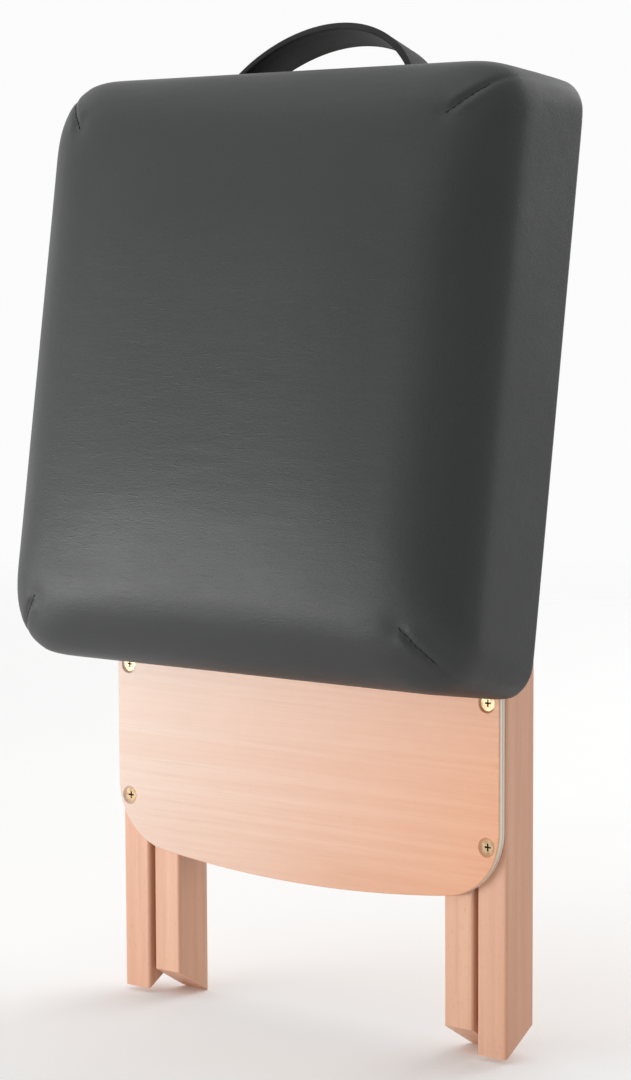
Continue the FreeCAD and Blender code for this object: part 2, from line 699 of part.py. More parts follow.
def build_seat_frame():
    nodes = [seat_board()]
    outline = rounded_block("frame_outline", "cover_thickness", "-apron_drop", "board_level")
    inside = "(%s - apron_thickness)" % FRAME_HALF
    for side, sign in SIDES:
        ends = [inside, FRAME_HALF] if sign > 0 else ["-" + FRAME_HALF, "-" + inside]
        node, body = apron("side_apron_" + side, outline, ends[0], ends[1], FRAME_LOW,
                           FRAME_HIGH, side_spots(sign))
        drill(body, "YZ_Plane", [("0", "0")], "tee_barrel")
        face = "%d * %s" % (sign, FRAME_HALF)
        drill(body, "YZ_Plane", [("0", "0")], "tee_flange", face, "washer_thickness",
              back=sign < 0)
        nodes.append(node)
    for name, low, high, middle in (
        ("lower_end_apron", FRAME_LOW, FRAME_LOW + " + apron_thickness", LOWER_END_MIDDLE),
        ("handle_end_apron", FRAME_HIGH + " - apron_thickness", FRAME_HIGH, HANDLE_END_MIDDLE),
    ):
        node, body = apron(name, outline, "-" + inside, inside, low, high, end_spots(middle))
        if name == "handle_end_apron":
            drill(body, "XZ_Plane", HANDLE_SCREW_SPOTS, "screw_shank",
                  "-" + FRAME_HIGH, HANDLE_PILOT, back=True)
        nodes.append(node)
    nodes.append(catch_block())
    screws = []
    for i, (x, y) in enumerate(BOARD_SPOTS):
        screw = wood_screw("seat_frame_screw_%d" % i, "frame_screw")
        screws.append(place_on_seat(screw, x, y, BOARD_TOP))
    nodes.append(group("seat_frame_screws", screws))
    return nodes


def catch_block():
    """Block under the board that the inner top rail meets when the stool is open."""
    body = new_body("catch_block")
    sketch = new_sketch(body, "YZ_Plane")
    polygon(sketch, [("-catch_near", "board_level"), ("-catch_near", "catch_slope"),
                     ("-catch_tip", "-catch_drop"), ("-catch_far", "-catch_drop"),
                     ("-catch_far", "board_level")])
    pad(body, sketch, "catch_width", middle=True)
    drill(body, "XY_Plane", CATCH_SPOTS, "screw_shank", "board_level", PILOT_DEPTH)
    return place_on_seat(body, "0", "0", "0")


# ---------------------------------------------------------------- upholstery and handle


def seat_cover():
    """Upholstery: a skin over the foam and the seat frame, turned in under the frame."""
    underside = "-(apron_drop + cover_thickness)"
    outside = rounded_block("cover_outside", "0", underside,
                            FOAM_TOP + " + cover_thickness", "cover_crown")
    inside = rounded_block("cover_inside", "cover_thickness", "-apron_drop", FOAM_TOP,
                           "cover_crown - cover_thickness")
    opening = rounded_block("cover_opening", "cover_thickness + hem_width",
                            underside + " - cover_thickness", "-apron_drop + cover_thickness")
    away = [inside, opening]
    for i, (x, z) in enumerate(HANDLE_SCREW_SPOTS):
        hole = primitive("Cylinder", "cover_hole_%d" % i, Radius="screw_shank / 2",
                         Height="2 * cover_thickness")
        away.append(place(hole, x, "handle_reach + cover_thickness / 2", z, (1, 0, 0), "90"))
    tool = doc.addObject("Part::MultiFuse", "cover_room")
    tool.Shapes = away
    cover = doc.addObject("Part::Cut", "seat_cover")
    cover.Base = outside
    cover.Tool = tool
    return place_on_seat(cover, "0", "0", "0")


def staple(name):
    """Crown along X with its top at z = 0, and two legs pointing up into the wood."""
    wire = "staple_wire"
    pieces = [primitive("Box", name + "_crown", Length="staple_width", Width=wire, Height=wire)]
    place(pieces[0], "-staple_width / 2", "-staple_wire / 2", "-staple_wire")
    for side, x in (("left", "-staple_width / 2"), ("right", "staple_width / 2 - staple_wire")):
        prong = primitive("Box", "%s_%s" % (name, side), Length=wire, Width=wire,
                          Height="cover_thickness + staple_leg")
        pieces.append(place(prong, x, "-staple_wire / 2", "0"))
    fused = doc.addObject("Part::MultiFuse", name + "_wire")
    fused.Shapes = pieces
    return fused


def cover_staples():
    """Staples along the turned-in hem, crowns along the edge of the seat."""
    level = "-(apron_drop + cover_thickness)"
    runs = []
    for _, sign in SIDES:
        runs.append((SEAT_LENGTH, SEAT_MIDDLE, "%d * (seat_width / 2 - staple_inset)" % sign,
                     "90"))
    for end in ("-(lower_reach - staple_inset)", "handle_reach - staple_inset"):
        runs.append(("seat_width", None, end, "0"))
    staples = []
    for number, (length, middle, across, turn) in enumerate(runs):
        count = int((evaluate(length) - 2 * evaluate("cover_corner")) / evaluate("staple_pitch"))
        for i in range(count + 1):
            along = "(%s - %s / 2) * staple_pitch" % (i, count)
            piece = staple("staple_%d_%d" % (number, i))
            turned = doc.addObject("Part::Compound", "turned_staple_%d_%d" % (number, i))
            turned.Links = [piece]
            if middle is None:
                place(piece)
                place_on_seat(turned, along, across, level)
            else:
                place(piece, angle=turn)
                place_on_seat(turned, across, "%s + %s" % (middle, along), level)
            staples.append(turned)
    return group("cover_staples", staples)


def arch_sketch(body, name, level, rise):
    """Outline of the strap's bow in a plane that leans back from the end of the seat.
    level is where the plane crosses the end, rise the height of the crest in the plane."""
    sketch = body.newObject("Sketcher::SketchObject", name)
    sketch.AttachmentSupport = [(plane_of(body, "XY_Plane"), "")]
    sketch.MapMode = "FlatFace"
    leaning = FreeCAD.Rotation(FreeCAD.Vector(1, 0, 0), -1.0)
    sketch.AttachmentOffset = FreeCAD.Placement(FreeCAD.Vector(), leaning)
    sketch.setExpression("AttachmentOffset.Base.z", d(level))
    sketch.setExpression("AttachmentOffset.Rotation.Angle", d("-handle_lean"))
    half = "(handle_span / 2)"
    bow = "(%s - strap_thickness)" % rise
    radius = "((%s ^ 2 + %s ^ 2) / (2 * %s))" % (half, bow, bow)
    outer_radius = "(%s + strap_thickness)" % radius
    outer_half = "sqrt(%s ^ 2 - (%s - %s) ^ 2)" % (outer_radius, radius, bow)
    for reach, crest, size in ((half, bow, radius), (outer_half, rise, outer_radius)):
        across = evaluate(reach)
        arc = Part.Arc(FreeCAD.Vector(across, 0, 0), FreeCAD.Vector(0, evaluate(crest), 0),
                       FreeCAD.Vector(-across, 0, 0))
        edge = sketch.addGeometry(arc, False)
        pin_point(sketch, edge, 1, reach, "0")
        pin_point(sketch, edge, 2, "-" + reach, "0")
        number = sketch.addConstraint(Sketcher.Constraint("Radius", edge, evaluate(size)))
        sketch.setExpression("Constraints[%d]" % number, d(size))
    for end, sign in ((1, 1), (2, -1)):
        foot = Part.LineSegment(FreeCAD.Vector(sign * evaluate(half), 0, 0),
                                FreeCAD.Vector(sign * evaluate(outer_half), 0, 0))
        edge = sketch.addGeometry(foot, False)
        sketch.addConstraint(Sketcher.Constraint("Coincident", edge, 1, 0, end))
        sketch.addConstraint(Sketcher.Constraint("Coincident", edge, 2, 1, end))
    return sketch


def handle_strap():
    """Strap bowed into a hand loop between two flat feet on the handle end of the seat.
    The bow leans back, and the edge nearer the seat's top rises the higher."""
    body = new_body("handle_strap")
    feet = new_sketch(body, "XY_Plane", "strap_level - strap_width / 2")
    half = "(handle_span / 2)"
    for sign in ("", "-"):
        inner, outer = sign + half, sign + "(%s + strap_foot)" % half
        polygon(feet, [(inner, "0"), (outer, "0"), (outer, "strap_thickness"),
                       (inner, "strap_thickness")])
    lower = arch_sketch(body, "strap_lower_edge", "strap_level - strap_width / 2",
                        "handle_lower_rise")
    upper = arch_sketch(body, "strap_upper_edge", "strap_level + strap_width / 2",
                        "handle_rise")
    doc.recompute()
    bow = body.newObject("PartDesign::AdditiveLoft", "strap_bow")
    bow.Profile = lower
    bow.Sections = [upper]
    bow.Ruled = True
    doc.recompute()
    pad(body, feet, "strap_width")
    drill(body, "XZ_Plane", HANDLE_SCREW_SPOTS, "screw_shank")
    return place_on_seat(body, "0", "handle_reach", "0")


def build_handle():
    strap = handle_strap()
    outside = "handle_reach + strap_thickness"
    screws, washers = [], []
    for i, (x, z) in enumerate(HANDLE_SCREW_SPOTS):
        screw = wood_screw("handle_screw_%d" % i, "handle_screw")
        screws.append(place_on_seat(screw, x, outside + " + " + CONE_HEIGHT, z, "-90"))
        disc = primitive("Cylinder", "handle_washer_disc_%d" % i, Radius="washer_diameter / 2",
                         Height=CONE_HEIGHT)
        seat = primitive("Cone", "handle_washer_seat_%d" % i, Radius1="screw_shank / 2",
                         Radius2="screw_head / 2", Height=CONE_HEIGHT)
        for piece in (disc, seat):
            place_on_seat(piece, x, outside, z, "-90")
        washer = doc.addObject("Part::Cut", "handle_washer_%d" % i)
        washer.Base = disc
        washer.Tool = seat
        washers.append(washer)
    return [strap, group("handle_screws", screws), group("handle_washers", washers)]


def build_upholstery():
    foam = rounded_block("foam_block", "cover_thickness", BOARD_TOP, FOAM_TOP,
                         "cover_crown - cover_thickness")
    place_on_seat(foam, "0", "0", "0")
    return [foam, seat_cover(), cover_staples()]


# ---------------------------------------------------------------- build, check and write


def check(nodes):
    for thing in doc.Objects:
        if "Invalid" in thing.State or "Error" in thing.State:
            raise ValueError("%s is %s" % (thing.Name, thing.State))
    for node in nodes:
        if node.Shape.isNull() or not node.Shape.isValid():
            raise ValueError("%s has no valid shape" % node.Label)
        for solid in node.Shape.Solids:
            if solid.Volume <= 0:
                raise ValueError("%s holds an empty solid" % node.Label)


def write(nodes):
    os.makedirs("parts", exist_ok=True)
    for node in nodes:
        node.Shape.exportStep("parts/%s.step" % node.Label)
        print("%-20s %3d solids %10.1f mm3" % (
            node.Label, len(node.Shape.Solids), node.Shape.Volume))


nodes = build_frames() + build_frame_screws() + build_pivots()
nodes += build_seat_frame() + build_upholstery() + build_handle()
doc.recompute()
check(nodes)
write(nodes)

whole = Part.makeCompound([node.Shape for node in nodes]).optimalBoundingBox(True, False)
print("x %.1f %.1f  y %.1f %.1f  z %.2f %.1f" % (
    whole.XMin, whole.XMax, whole.YMin, whole.YMax, whole.ZMin, whole.ZMax))
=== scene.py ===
"""Looks of a folding wooden stool with an upholstered seat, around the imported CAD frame.

Metres, the frame of the CAD model: +Z up, the upholstered face towards -Y. The seat's own
directions start at the hinge axis: x across, y towards the handle end, z from the seat's
underside to its upholstered top."""

import json
import math

import bmesh
import bpy
import numpy as np
from mathutils import Matrix, Vector
from mathutils.bvhtree import BVHTree


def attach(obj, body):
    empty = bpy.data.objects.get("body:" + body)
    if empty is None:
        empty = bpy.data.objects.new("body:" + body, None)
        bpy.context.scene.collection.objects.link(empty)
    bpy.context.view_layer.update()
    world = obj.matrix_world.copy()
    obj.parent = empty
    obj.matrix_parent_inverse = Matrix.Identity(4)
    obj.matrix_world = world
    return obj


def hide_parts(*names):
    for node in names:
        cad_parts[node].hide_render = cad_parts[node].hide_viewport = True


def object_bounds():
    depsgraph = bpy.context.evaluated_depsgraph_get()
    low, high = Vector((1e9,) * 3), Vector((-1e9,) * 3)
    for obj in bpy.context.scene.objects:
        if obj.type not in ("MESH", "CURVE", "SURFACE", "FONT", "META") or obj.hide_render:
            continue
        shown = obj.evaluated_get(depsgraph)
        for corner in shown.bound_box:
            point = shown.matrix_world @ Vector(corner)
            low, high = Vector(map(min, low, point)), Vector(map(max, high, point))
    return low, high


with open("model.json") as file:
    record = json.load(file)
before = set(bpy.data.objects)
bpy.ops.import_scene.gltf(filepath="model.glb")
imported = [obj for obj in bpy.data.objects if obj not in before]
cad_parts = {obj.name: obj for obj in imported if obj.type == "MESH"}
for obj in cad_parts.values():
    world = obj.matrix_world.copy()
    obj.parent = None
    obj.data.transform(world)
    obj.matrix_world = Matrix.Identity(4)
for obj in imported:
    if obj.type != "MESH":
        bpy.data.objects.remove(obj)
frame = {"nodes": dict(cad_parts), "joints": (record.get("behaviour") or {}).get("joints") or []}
cad_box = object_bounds()

MM = 0.001
AXES = "XYZ"

# ---------------------------------------------------------------- the seat's directions

SEAT_TILT = math.radians(9.0)
HINGE = next(Vector(j["pos_m"]) for j in frame["joints"] if j["name"] == "seat_fold")
FROM_SEAT = Matrix.Translation(HINGE) @ Matrix.Rotation(math.pi / 2 - SEAT_TILT, 4, "X")
TO_SEAT = FROM_SEAT.inverted()


def seat_extents(node):
    """Lowest and highest corners of a node in the seat's directions."""
    spots = [TO_SEAT @ v.co for v in frame["nodes"][node].data.vertices]
    low = Vector(min(p[i] for p in spots) for i in range(3))
    high = Vector(max(p[i] for p in spots) for i in range(3))
    return low, high


COVER_LOW, COVER_HIGH = seat_extents("seat_cover")
HALF_WIDTH = COVER_HIGH.x
LENGTH_MIDDLE = (COVER_HIGH.y + COVER_LOW.y) / 2
HALF_LENGTH = (COVER_HIGH.y - COVER_LOW.y) / 2
RIM = COVER_LOW.z
THICKNESS = COVER_HIGH.z - COVER_LOW.z

# ---------------------------------------------------------------- mesh helpers


def new_piece(name, bm):
    """Turns a bmesh into an object of that name."""
    bmesh.ops.recalc_face_normals(bm, faces=bm.faces)
    mesh = bpy.data.meshes.new(name)
    bm.to_mesh(mesh)
    bm.free()
    for face in mesh.polygons:
        face.use_smooth = True
    piece = bpy.data.objects.new(name, mesh)
    bpy.context.collection.objects.link(piece)
    return piece


def apply_modifiers(piece):
    """Replaces a piece's mesh by the result of its modifiers."""
    depsgraph = bpy.context.evaluated_depsgraph_get()
    mesh = bpy.data.meshes.new_from_object(piece.evaluated_get(depsgraph))
    piece.modifiers.clear()
    old = piece.data
    piece.data = mesh
    bpy.data.meshes.remove(old)
    for face in mesh.polygons:
        face.use_smooth = True


def skin_rings(bm, rings, caps=True):
    """Joins closed rings of points of equal count by faces."""
    made = [[bm.verts.new(p) for p in ring] for ring in rings]
    count = len(made[0])
    for low, high in zip(made, made[1:]):
        for i in range(count):
            after = (i + 1) % count
            bm.faces.new((low[i], low[after], high[after], high[i]))
    if caps:
        bm.faces.new(list(reversed(made[0])))
        bm.faces.new(made[-1])
    return made


# ---------------------------------------------------------------- the cushion's shape

CORNER_AT_RIM = 21 * MM
CORNER_AT_TOP = 52 * MM
CORNER_TURN = 1.5        # power by which the corners open from rim to top
CORNER_SHRINK = 0.35     # of an inset, taken off the corner radius
CORNER_LEAST = 4 * MM
CROWN_DEPTH = 42 * MM
CROWN_REACH = 46 * MM
CROWN_POWER = 2.1
CROWN_RINGS = 14
START_LOWER = 5.0 * MM   # the start form lies this far under the finished top
START_SIDE = 2.5 * MM    # and this far inside the finished sides
SKIRT = 20 * MM          # below the rim, cut off after the swelling
SIDE_RINGS = 12
VOXEL = 5.5 * MM

PIN_BELOW = 64 * MM      # over the rim: the cover is held on the wood up to this height
PIN_FADE = 14 * MM
PRESSURE = 4.0
CLOTH_QUALITY = 5
CLOTH_STEPS = 20
MOST_SWELL = 11.0 * MM
SPREAD_ROUNDS = 60

HEM = 15 * MM
HEM_ROUND = 3.5 * MM
HEM_TURNS = (22, 45, 67, 90)
COVER_THICK = 1.1 * MM


def corner_radius(level):
    """Radius of the outline's corners at a height over the rim, from tight to round."""
    share = max(0.0, min(1.0, level / THICKNESS))
    return CORNER_AT_RIM + (CORNER_AT_TOP - CORNER_AT_RIM) * share ** CORNER_TURN


def outline(inset, radius, level, per_corner=14):
    """Points of a rectangle with round corners inside the cover's outline."""
    half_x, half_y = HALF_WIDTH - inset, HALF_LENGTH - inset
    radius = max(radius - inset * CORNER_SHRINK, CORNER_LEAST)
    points = []
    for quarter, (sign_x, sign_y) in enumerate(((1, 1), (-1, 1), (-1, -1), (1, -1))):
        centre = Vector((sign_x * (half_x - radius), sign_y * (half_y - radius), 0))
        for step in range(per_corner + 1):
            turn = math.pi / 2 * (quarter + step / per_corner)
            point = centre + radius * Vector((math.cos(turn), math.sin(turn), 0))
            points.append(Vector((point.x, point.y + LENGTH_MIDDLE, RIM + level)))
    return points


def cushion_start():
    """The cushion before it swells: a closed form a little smaller than the real one."""
    top = THICKNESS - START_LOWER
    crown_from = top - CROWN_DEPTH
    levels = [-SKIRT + (crown_from + SKIRT) * i / SIDE_RINGS for i in range(SIDE_RINGS + 1)]
    levels += [crown_from + CROWN_DEPTH * math.sin(math.pi / 2 * i / CROWN_RINGS)
               for i in range(1, CROWN_RINGS + 1)]
    rings = []
    for level in levels:
        share = max(0.0, min(1.0, (level - crown_from) / CROWN_DEPTH))
        inset = CROWN_REACH * (1 - (1 - share ** CROWN_POWER) ** (1 / CROWN_POWER))
        inset += START_SIDE * min(1.0, max(0.0, (level - PIN_BELOW) / PIN_FADE))
        rings.append(outline(inset, corner_radius(level), level))
    bm = bmesh.new()
    skin_rings(bm, rings)
    return new_piece("upholstery", bm)


def remesh(piece):
    """Rebuilds a closed form with faces of even size."""
    modifier = piece.modifiers.new("voxels", "REMESH")
    modifier.mode = "VOXEL"
    modifier.voxel_size = VOXEL
    modifier.use_smooth_shade = True
    apply_modifiers(piece)


def smooth(piece, rounds):
    """Evens out a piece's surface."""
    modifier = piece.modifiers.new("smooth", "SMOOTH")
    modifier.factor = 0.5
    modifier.iterations = rounds
    apply_modifiers(piece)


def coordinates(mesh):
    """A mesh's points as rows of an array."""
    flat = np.empty(len(mesh.vertices) * 3)
    mesh.vertices.foreach_get("co", flat)
    return flat.reshape(-1, 3)


def spread_evenly(mesh, moves, free):
    """Evens out moves between neighbouring points. free is 0 where a point is held."""
    ends = np.empty(len(mesh.edges) * 2, dtype=np.int64)
    mesh.edges.foreach_get("vertices", ends)
    first, second = ends.reshape(-1, 2).T
    count = np.bincount(ends, minlength=len(moves))[:, None]
    for _ in range(SPREAD_ROUNDS):
        total = np.zeros_like(moves)
        for axis in range(3):
            total[:, axis] = (np.bincount(first, moves[second, axis], len(moves))
                              + np.bincount(second, moves[first, axis], len(moves)))
        moves = total / count * free[:, None]
    return moves


def inflate(piece):
    """Lets the cover swell under the foam's pressure, held where it is stretched over wood."""
    before = coordinates(piece.data)
    above = np.clip((before[:, 2] - RIM - PIN_BELOW) / PIN_FADE, 0, 1)
    held = piece.vertex_groups.new(name="held")
    for i, free in enumerate(above):
        if free < 1:
            held.add([i], 1 - float(free), "REPLACE")
    cloth = piece.modifiers.new("cloth", "CLOTH")
    cloth.settings.use_pressure = True
    cloth.settings.uniform_pressure_force = PRESSURE
    cloth.settings.effector_weights.gravity = 0.0
    cloth.settings.vertex_group_mass = "held"
    cloth.settings.quality = CLOTH_QUALITY
    cloth.collision_settings.use_collision = False
    cloth.collision_settings.use_self_collision = False
    cloth.point_cache.frame_start = 1
    cloth.point_cache.frame_end = CLOTH_STEPS
    for step in range(1, CLOTH_STEPS + 1):
        bpy.context.scene.frame_set(step)
    apply_modifiers(piece)
    bpy.context.scene.frame_set(1)
    moves = coordinates(piece.data) - before
    length = np.linalg.norm(moves, axis=1, keepdims=True)
    # A long move is shortened towards the most that the cover's size allows.
    moves *= MOST_SWELL * (1 - np.exp(-length / MOST_SWELL)) / np.maximum(length, 1e-9)
    moves = spread_evenly(piece.data, moves, above)
    piece.data.vertices.foreach_set("co", (before + moves).ravel())
    piece.data.update()
    piece.vertex_groups.clear()


def subdivide(piece):
    """Splits each face in four and rounds the surface."""
    modifier = piece.modifiers.new("finer", "SUBSURF")
    modifier.levels = modifier.render_levels = 1
    apply_modifiers(piece)


# ---------------------------------------------------------------- seams and puckers

SEAM_LIFT = 57.0         # degrees over the horizontal at which a seam starts on the face
SEAM_INSIDE = 60 * MM    # from the sides to the point that a seam's directions fan out from
SEAM_INSIDE_HEIGHT = 40 * MM
SEAM_STEPS = 30
SEAM_END = 6 * MM        # over the rim
SEAM_STEP_DOWN = 3 * MM
SEAM_AREA = 140 * MM     # farthest point from a seam's start that the seam can move
SEAM_SIDE = 22 * MM      # farthest point from its line
SEAM_DEPTH = 1.3 * MM
SEAM_REACH = 1.9 * MM
SEAM_EASE = 0.06         # of a seam, over which its groove begins
SEAM_FAINT = 0.12        # of the depth, which the groove keeps to the rim
DART_SHARE = 0.34        # of a seam, over which its groove fades
THREAD_SHARE = 0.36      # of a seam, over which its thread shows
SWELL_HEIGHT = 0.45 * MM
SWELL_AT = 5 * MM
SWELL_WIDTH = 3 * MM
RIPPLE_HEIGHT = 0.1 * MM
RIPPLE_WIDTH = 8 * MM
RIPPLE_COUNT = 26        # over the whole length of a seam
RIPPLE_SHIFT = 1.7       # from one seam to the next
PUCKER_WIDTH = 7 * MM
PUCKER_DEPTH = 0.9 * MM
PUCKER_AHEAD = 3 * MM
REFINE_REACH = 7 * MM
CORNERS = [(x, y) for x in (-1, 1) for y in (-1, 1)]


def corner_seam(tree, sign_x, sign_y):
    """Points on the cover along a corner's seam, from the face to the rim."""
    inside = Vector((sign_x * (HALF_WIDTH - SEAM_INSIDE),
                     LENGTH_MIDDLE + sign_y * (HALF_LENGTH - SEAM_INSIDE),
                     RIM + SEAM_INSIDE_HEIGHT))
    across = Vector((sign_x, sign_y, 0)).normalized()
    points = []
    for step in range(SEAM_STEPS + 1):
        lift = math.radians(SEAM_LIFT * (1 - step / SEAM_STEPS))
        way = across * math.cos(lift) + Vector((0, 0, 1)) * math.sin(lift)
        points.append(tree.ray_cast(inside, way)[0])
    level = inside.z
    while level > RIM + SEAM_END:
        level -= SEAM_STEP_DOWN
        start = Vector((inside.x, inside.y, level))
        points.append(tree.ray_cast(start, across)[0])
    return points


def nearest_on_path(point, path):
    """Distance from a point to a path, and how far along the path it is, from 0 to 1."""
    best, share = 1e9, 0.0
    for i, (a, b) in enumerate(zip(path, path[1:])):
        leg = b - a
        t = max(0.0, min(1.0, (point - a).dot(leg) / max(leg.length_squared, 1e-12)))
        gap = (point - a - leg * t).length
        if gap < best:
            best, share = gap, (i + t) / (len(path) - 1)
    return best, share


def refine_near(bm, paths):
    """Halves the edges that lie close to the paths."""
    boxes = []
    for path in paths:
        low = Vector(min(p[i] for p in path) - REFINE_REACH for i in range(3))
        high = Vector(max(p[i] for p in path) + REFINE_REACH for i in range(3))
        boxes.append((low, high))
    edges = []
    for edge in bm.edges:
        middle = (edge.verts[0].co + edge.verts[1].co) / 2
        for path, (low, high) in zip(paths, boxes):
            if all(low[i] <= middle[i] <= high[i] for i in range(3)):
                if nearest_on_path(middle, path)[0] < REFINE_REACH:
                    edges.append(edge)
                    break
    bmesh.ops.subdivide_edges(bm, edges=edges, cuts=1, use_grid_fill=True)


def press_seams(bm, paths):
    """Presses the seams' grooves in, with small puckers across their face ends."""
    for vertex in bm.verts:
        for number, path in enumerate(paths):
            if (vertex.co - path[0]).length > SEAM_AREA:
                continue
            gap, share = nearest_on_path(vertex.co, path)
            if gap > SEAM_SIDE:
                continue
            ease = min(1.0, share / SEAM_EASE)
            fade = ease * math.exp(-(share / DART_SHARE) ** 2)
            depth = SEAM_DEPTH * (SEAM_FAINT * ease + (1 - SEAM_FAINT) * fade)
            groove = depth * math.exp(-(gap / SEAM_REACH) ** 2)
            swell = SWELL_HEIGHT * fade * math.exp(-((gap - SWELL_AT) / SWELL_WIDTH) ** 2)
            along = share * RIPPLE_COUNT + number * RIPPLE_SHIFT
            ripple = (RIPPLE_HEIGHT * math.sin(along * 2 * math.pi)
                      * math.exp(-(gap / RIPPLE_WIDTH) ** 2))
            vertex.co -= vertex.normal * (groove - swell + ripple * fade)


def pull_pucker(bm, path):
    """A short dent where the seam's face end pulls the cover in."""
    start = path[0] + (path[0] - path[3]).normalized() * PUCKER_AHEAD
    for vertex in bm.verts:
        gap = (vertex.co - start).length
        if gap < 3 * PUCKER_WIDTH:
            vertex.co -= vertex.normal * PUCKER_DEPTH * math.exp(-(gap / PUCKER_WIDTH) ** 2)


# ---------------------------------------------------------------- rim and hem


def inwards(point):
    """Direction from a point of the outline towards the inside."""
    x, y = point.x, point.y - LENGTH_MIDDLE
    core_x, core_y = HALF_WIDTH - CORNER_AT_RIM, HALF_LENGTH - CORNER_AT_RIM
    out = Vector((math.copysign(max(abs(x) - core_x, 0), x),
                  math.copysign(max(abs(y) - core_y, 0), y), 0))
    return -out.normalized()


def cut_and_hem(bm):
    """Opens the underside and turns the cover's edge in under the seat frame."""
    level = RIM + HEM_ROUND
    geometry = bm.verts[:] + bm.edges[:] + bm.faces[:]
    bmesh.ops.bisect_plane(bm, geom=geometry, plane_co=(0, 0, level), plane_no=(0, 0, 1),
                           clear_inner=True)
    edges = [e for e in bm.edges if e.is_boundary]
    profile = [(HEM_ROUND * (1 - math.cos(a)), HEM_ROUND * math.sin(a))
               for a in (math.radians(t) for t in HEM_TURNS)]
    profile += [(HEM * 0.5, HEM_ROUND), (HEM, HEM_ROUND)]
    start = {v: v.co.copy() for e in edges for v in e.verts}
    way = {v: inwards(c) for v, c in start.items()}
    for inset, drop in profile:
        made = bmesh.ops.extrude_edge_only(bm, edges=edges)["geom"]
        fresh = [g for g in made if isinstance(g, bmesh.types.BMVert)]
        known = set(fresh)
        edges = [g for g in made if isinstance(g, bmesh.types.BMEdge)
                 and g.is_boundary and known.issuperset(g.verts)]
        next_start, next_way = {}, {}
        for vertex in fresh:
            # An extruded point begins where its parent lies, so the parent is the one it meets.
            parent = next(e.other_vert(vertex) for e in vertex.link_edges
                          if e.other_vert(vertex) in start)
            next_start[vertex], next_way[vertex] = start[parent], way[parent]
        for vertex in fresh:
            origin = next_start[vertex]
            vertex.co = origin + next_way[vertex] * inset
            vertex.co.z = origin.z - drop
        start, way = next_start, next_way


def make_upholstery():
    """The padded cover as one skin, and its seams as lists of (point, normal)."""
    piece = cushion_start()
    remesh(piece)
    smooth(piece, 3)
    inflate(piece)
    smooth(piece, 4)
    subdivide(piece)
    bm = bmesh.new()
    bm.from_mesh(piece.data)
    tree = BVHTree.FromBMesh(bm)
    paths = [corner_seam(tree, x, y) for x, y in CORNERS]
    refine_near(bm, paths)
    bm.normal_update()
    press_seams(bm, paths)
    bm.normal_update()
    for path in paths:
        pull_pucker(bm, path)
    cut_and_hem(bm)
    bmesh.ops.recalc_face_normals(bm, faces=bm.faces)
    for face in bm.faces:
        face.smooth = True
    bm.to_mesh(piece.data)
    tree = BVHTree.FromBMesh(bm)
    bm.free()
    seams = [[drop_on(tree, p) for p in path] for path in paths]
    modifier = piece.modifiers.new("skin", "SOLIDIFY")
    modifier.thickness = COVER_THICK
    modifier.offset = -1
    apply_modifiers(piece)
    piece.data.transform(FROM_SEAT)
    return piece, seams


CORD_FLAT = 0.6
CORD_END = 0.35
SEAM_CORD = 0.4 * MM
STITCH_SPACING = 4.4 * MM
STITCH_HALF = 1.5 * MM
STITCH_RADIUS = 0.42 * MM
STITCH_SLANT = 0.35
STITCH_LIFT = 0.35 * MM
STITCH_DIP = 0.5 * MM


def drop_on(tree, point):
    """The point of the cover nearest to a point, and the cover's normal there."""
    spot, normal, _, _ = tree.find_nearest(point)
    return spot, normal


def cord_rings(spots, radius, sides=8):
    """Rings of a thin flat cord along (point, normal) pairs, narrow at its ends."""
    rings = []
    for i, (point, normal) in enumerate(spots):
        before = spots[max(i - 1, 0)][0]
        after = spots[min(i + 1, len(spots) - 1)][0]
        along = (after - before).normalized()
        out = (normal - along * normal.dot(along)).normalized()
        side = along.cross(out)
        narrow = CORD_END if i in (0, len(spots) - 1) else 1.0
        rings.append([point + (side * math.cos(t) + out * math.sin(t) * CORD_FLAT) * radius * narrow
                      for t in (2 * math.pi * k / sides for k in range(sides))])
    return rings


def dart(seam):
    """The part of a seam where its stitches and its dark line of painted shade show, from its face end.
    """
    return seam[:int(len(seam) * THREAD_SHARE)]


def make_seam_shade_lines(seams):
    """Cord of folded edge that lies in each corner seam's groove, coloured dark as painted shade for the
    shadow in the seam's gap.
    """
    bm = bmesh.new()
    for seam in seams:
        skin_rings(bm, cord_rings(dart(seam), SEAM_CORD))
    piece = new_piece("corner_seam_shade_lines", bm)
    piece.data.transform(FROM_SEAT)
    return piece


def walk(seam, spacing):
    """Spots at even distances along a seam."""
    spots = []
    carried = 0.0
    for (a, normal_a), (b, normal_b) in zip(seam, seam[1:]):
        length = (b - a).length
        while carried < length:
            share = carried / length
            spots.append((a.lerp(b, share), normal_a.lerp(normal_b, share).normalized(),
                          (b - a).normalized()))
            carried += spacing
        carried -= length
    return spots


def make_stitches(seams):
    """Short slanting stitches over the face ends of the corner seams."""
    bm = bmesh.new()
    for seam in seams:
        for point, normal, along in walk(dart(seam), STITCH_SPACING)[:-1]:
            side = along.cross(normal).normalized()
            way = (along + side * STITCH_SLANT).normalized()
            centre = point + normal * STITCH_LIFT
            spots = [(centre + way * STITCH_HALF * t - normal * STITCH_DIP * t * t, normal)
                     for t in (-1, -0.5, 0, 0.5, 1)]
            skin_rings(bm, cord_rings(spots, STITCH_RADIUS, sides=6))
    piece = new_piece("corner_stitches", bm)
    piece.data.transform(FROM_SEAT)
    return piece


# ---------------------------------------------------------------- the carrying strap

